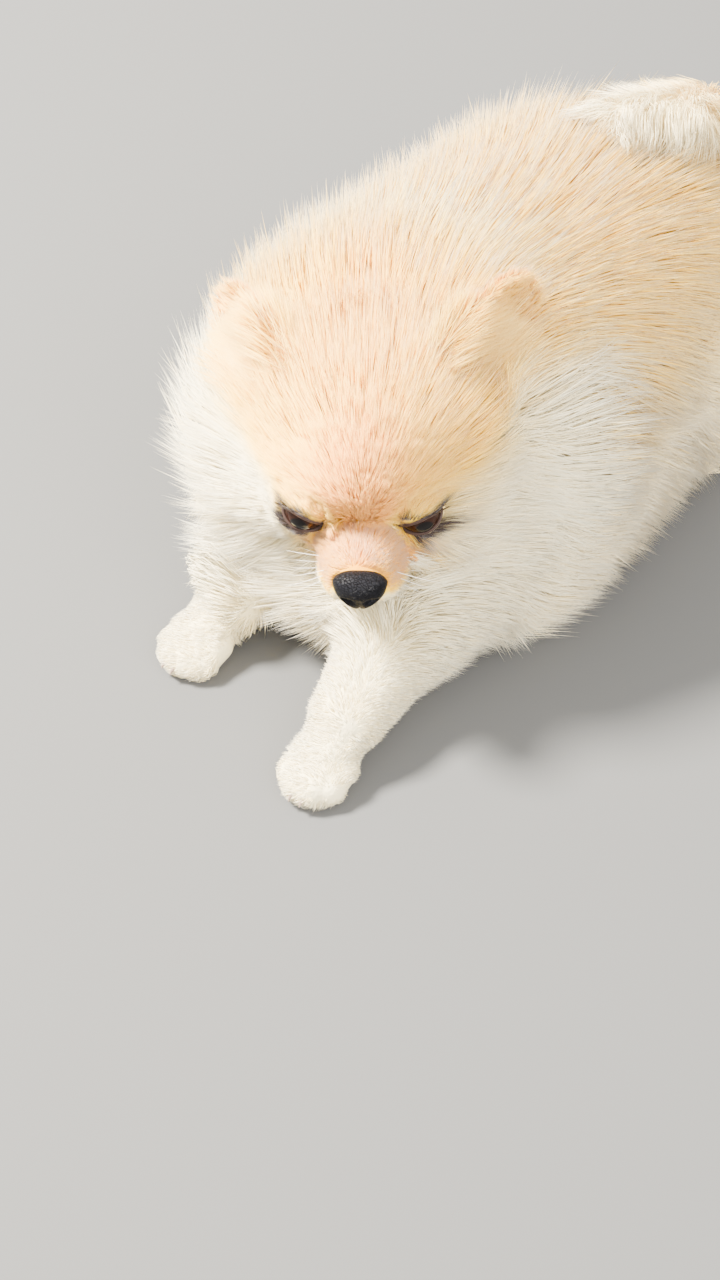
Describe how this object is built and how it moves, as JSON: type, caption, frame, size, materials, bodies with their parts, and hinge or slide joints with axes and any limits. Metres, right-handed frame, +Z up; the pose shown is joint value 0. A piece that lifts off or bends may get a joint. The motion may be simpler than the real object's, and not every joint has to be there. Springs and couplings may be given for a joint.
{
  "type": "pomeranian puppy",
  "caption": "Life-size cream pomeranian puppy lying on its belly with forelegs stretched out, head turned to its left and a fluffy standing coat.",
  "frame": {"origin": "on the floor, under the middle of the whole part's box", "axes": "+Z up, -Y the way the body faces, +X to the puppy's left"},
  "size_m": [0.1316, 0.2516, 0.1179],
  "materials": {
    "coat": "soft cream and pale orange fur",
    "white_coat": "soft cream-white fur",
    "ear": "short orange fur",
    "eye": "wet, near-black brown",
    "nose": "damp black nose leather"
  },
  "bodies": {
    "root": {"head": "coat", "neck": "coat", "torso": "coat", "tail": "white_coat", "foreleg_left": "white_coat", "foreleg_right": "white_coat", "hindleg_left": "coat", "hindleg_right": "coat", "forepaw_left": "white_coat", "forepaw_right": "white_coat", "hindpaw_left": "white_coat", "hindpaw_right": "white_coat", "ear_left": "ear", "ear_right": "ear", "eye_left": "eye", "eye_right": "eye", "nose": "nose"}
  },
  "joints": []
}
